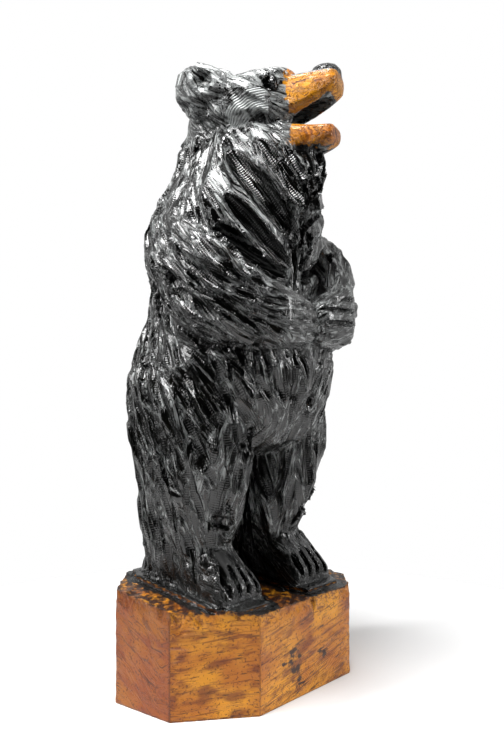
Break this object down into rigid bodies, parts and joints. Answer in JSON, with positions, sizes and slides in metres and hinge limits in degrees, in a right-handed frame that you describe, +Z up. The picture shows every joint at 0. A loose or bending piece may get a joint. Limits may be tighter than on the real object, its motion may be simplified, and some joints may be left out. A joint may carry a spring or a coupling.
{
  "type": "chainsaw carved bear",
  "caption": "Standing bear carved from one upright log, head raised and turned, mouth open, paws held on the belly, on a squared log base.",
  "frame": {"origin": "bottom centre of the bounding box, on the underside of the log base", "axes": "+Z up the bear; the bear's body faces -Y; +X is the bear's left side"},
  "size_m": [0.3426, 0.3004, 0.887],
  "materials": {
    "painted_wood": "gloss"
  },
  "bodies": {
    "root": {"bear_on_log_base": "painted_wood"}
  },
  "joints": []
}
